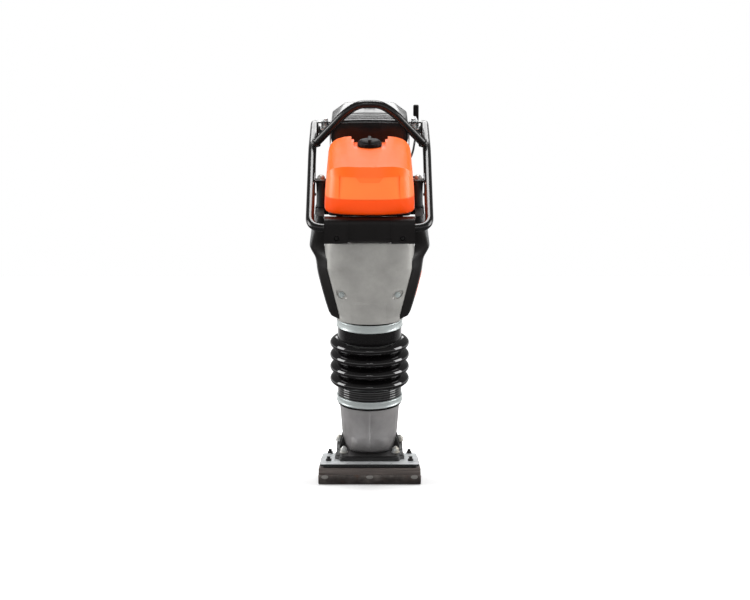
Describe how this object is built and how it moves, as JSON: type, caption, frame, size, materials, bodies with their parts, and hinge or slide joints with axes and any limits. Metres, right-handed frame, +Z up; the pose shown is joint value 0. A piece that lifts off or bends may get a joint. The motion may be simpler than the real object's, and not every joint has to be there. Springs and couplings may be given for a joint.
{
  "type": "jumping jack rammer",
  "caption": "Upright percussion rammer with a leaning spring leg, bellows, laminated shoe, gear case, small engine, front fuel tank and floating tube handle.",
  "frame": {"origin": "middle of the sole's flat underside, on the ground", "axes": "+Z up, the tank and bumper face -Y, the grip is towards +Y, +X is the throttle side"},
  "size_m": [0.343, 0.6778, 1.0712],
  "materials": {
    "cast_aluminium": "cast, satin",
    "guard_grey": "satin grey",
    "zinc": "zinc plated",
    "black_plastic": "fine grain",
    "cover_grey": "fine grain",
    "steel": "ground",
    "bronze": "turned",
    "clamp_steel": "satin",
    "bellows_rubber": "glossy",
    "tank_orange": "moulded, glossy",
    "hood_black": "glossy",
    "filter_paper": "pleated paper",
    "black_paint": "glossy black",
    "exhaust_steel": "heat tinted",
    "buffer_rubber": "matt",
    "buffer_light": "plated sleeve over rubber",
    "dark_iron": "black painted casting",
    "laminated_wood": "resin-bonded layers",
    "sole_steel": "dark, worn",
    "friction_lining": "lining"
  },
  "bodies": {
    "root": {"crankcase": "cast_aluminium", "clutch_housing": "cast_aluminium", "front_guard": "guard_grey", "housing_bolts": "zinc", "side_cover_left": "cover_grey", "side_cover_right": "cover_grey", "guide_cylinder": "steel", "guide_bushes": "bronze", "upper_clamp": "clamp_steel", "bellows": "bellows_rubber", "fuel_tank": "tank_orange", "hood": "hood_black", "filter_base": "black_plastic", "filter_element": "filter_paper", "engine_block": "cast_aluminium", "cylinder": "cast_aluminium", "cylinder_head": "cast_aluminium", "fan_shroud": "black_plastic", "recoil_housing": "black_plastic", "muffler": "exhaust_steel", "muffler_guard": "black_paint", "carburettor": "cast_aluminium", "fuel_hose": "buffer_rubber", "spark_plug": "buffer_rubber", "mount_beam": "black_paint", "rear_brackets": "zinc", "front_buffers": "buffer_rubber", "rear_buffers": "buffer_light", "bearings": "steel"},
    "engine_shaft": {"crankshaft": "steel", "flywheel": "cast_aluminium", "clutch_hub": "steel", "clutch_shoes": "friction_lining"},
    "pinion": {"pinion_shaft": "steel", "clutch_drum": "steel"},
    "crank": {"crank_gear": "steel"},
    "conrod": {"connecting_rod": "steel", "wrist_pin": "steel"},
    "ram": {"piston_rod": "steel", "ram_piston": "steel"},
    "leg": {"spring_cylinder": "steel", "ram_springs": "steel", "leg_casting": "cast_aluminium", "lower_clamp": "clamp_steel", "foot_bracket": "dark_iron", "foot_bolts": "zinc", "shoe_plate": "zinc", "shoe_core": "laminated_wood", "shoe_sole": "sole_steel", "shoe_bolts": "zinc"},
    "handle": {"handle_frame": "black_paint", "lifting_bail": "black_paint", "front_bumper": "black_plastic", "grip_sleeve": "buffer_rubber", "handle_screws": "zinc", "throttle_cable": "buffer_rubber"},
    "throttle": {"throttle_lever": "black_plastic"},
    "cap": {"fuel_cap": "hood_black"},
    "starter": {"starter_grip": "buffer_rubber"},
    "choke": {"choke_lever": "black_plastic"}
  },
  "joints": [
    {"name": "leg_slide", "type": "slide", "parent": "root", "child": "leg", "axis": [0, -0.2504, 0.9681], "range_m": [-0.032, 0.033], "stiffness_N_per_m": 30000, "springref_m": -0.016, "deforming": ["bellows", "ram_springs"]},
    {"name": "ram_slide", "type": "slide", "parent": "root", "child": "ram", "axis": [0, -0.2504, 0.9681], "range_m": [0, 0.034], "stiffness_N_per_m": 8000, "springref_m": -0.002, "deforming": ["ram_springs"]},
    {"name": "crank_spin", "type": "hinge", "parent": "root", "child": "crank", "pos_m": [0, -0.09234, 0.60023], "axis": [0, 0.9681, 0.2504], "continuous": true},
    {"name": "pinion_spin", "type": "hinge", "parent": "root", "child": "pinion", "pos_m": [0, -0.11162, 0.67478], "axis": [0, 0.9681, 0.2504], "continuous": true},
    {"name": "conrod_turn", "type": "hinge", "parent": "crank", "child": "conrod", "pos_m": [0, -0.11423, 0.57702], "axis": [0, 0.9681, 0.2504], "continuous": true},
    {"name": "engine_spin", "type": "hinge", "parent": "root", "child": "engine_shaft", "pos_m": [0, 0.02682, 0.71059], "axis": [0, 0.9681, 0.2504], "continuous": true},
    {"name": "handle_float", "type": "slide", "parent": "root", "child": "handle", "axis": [0, -0.2504, 0.9681], "range_m": [-0.004, 0.004], "stiffness_N_per_m": 60000, "springref_m": 0.0015, "deforming": ["front_buffers", "rear_buffers", "throttle_cable"]},
    {"name": "throttle_swing", "type": "hinge", "parent": "handle", "child": "throttle", "pos_m": [0.138, 0.20059, 0.99722], "axis": [1, 0, 0], "range_deg": [-40, 10]},
    {"name": "cap_turn", "type": "hinge", "parent": "root", "child": "cap", "pos_m": [0, -0.15682, 0.92545], "axis": [0, -0.2504, 0.9681], "range_deg": [0, 90]},
    {"name": "starter_pull", "type": "slide", "parent": "root", "child": "starter", "axis": [0, 0.9681, 0.2504], "range_m": [0, 0.6], "stiffness_N_per_m": 12, "springref_m": -0.6},
    {"name": "choke_turn", "type": "hinge", "parent": "root", "child": "choke", "pos_m": [0.114, 0.00793, 0.88749], "axis": [1, 0, 0], "range_deg": [0, 70]}
  ],
  "couplings": [
    {"joint": "pinion_spin", "follows": "crank_spin", "ratio": -6},
    {"joint": "conrod_turn", "follows": "crank_spin", "ratio": -1}
  ]
}
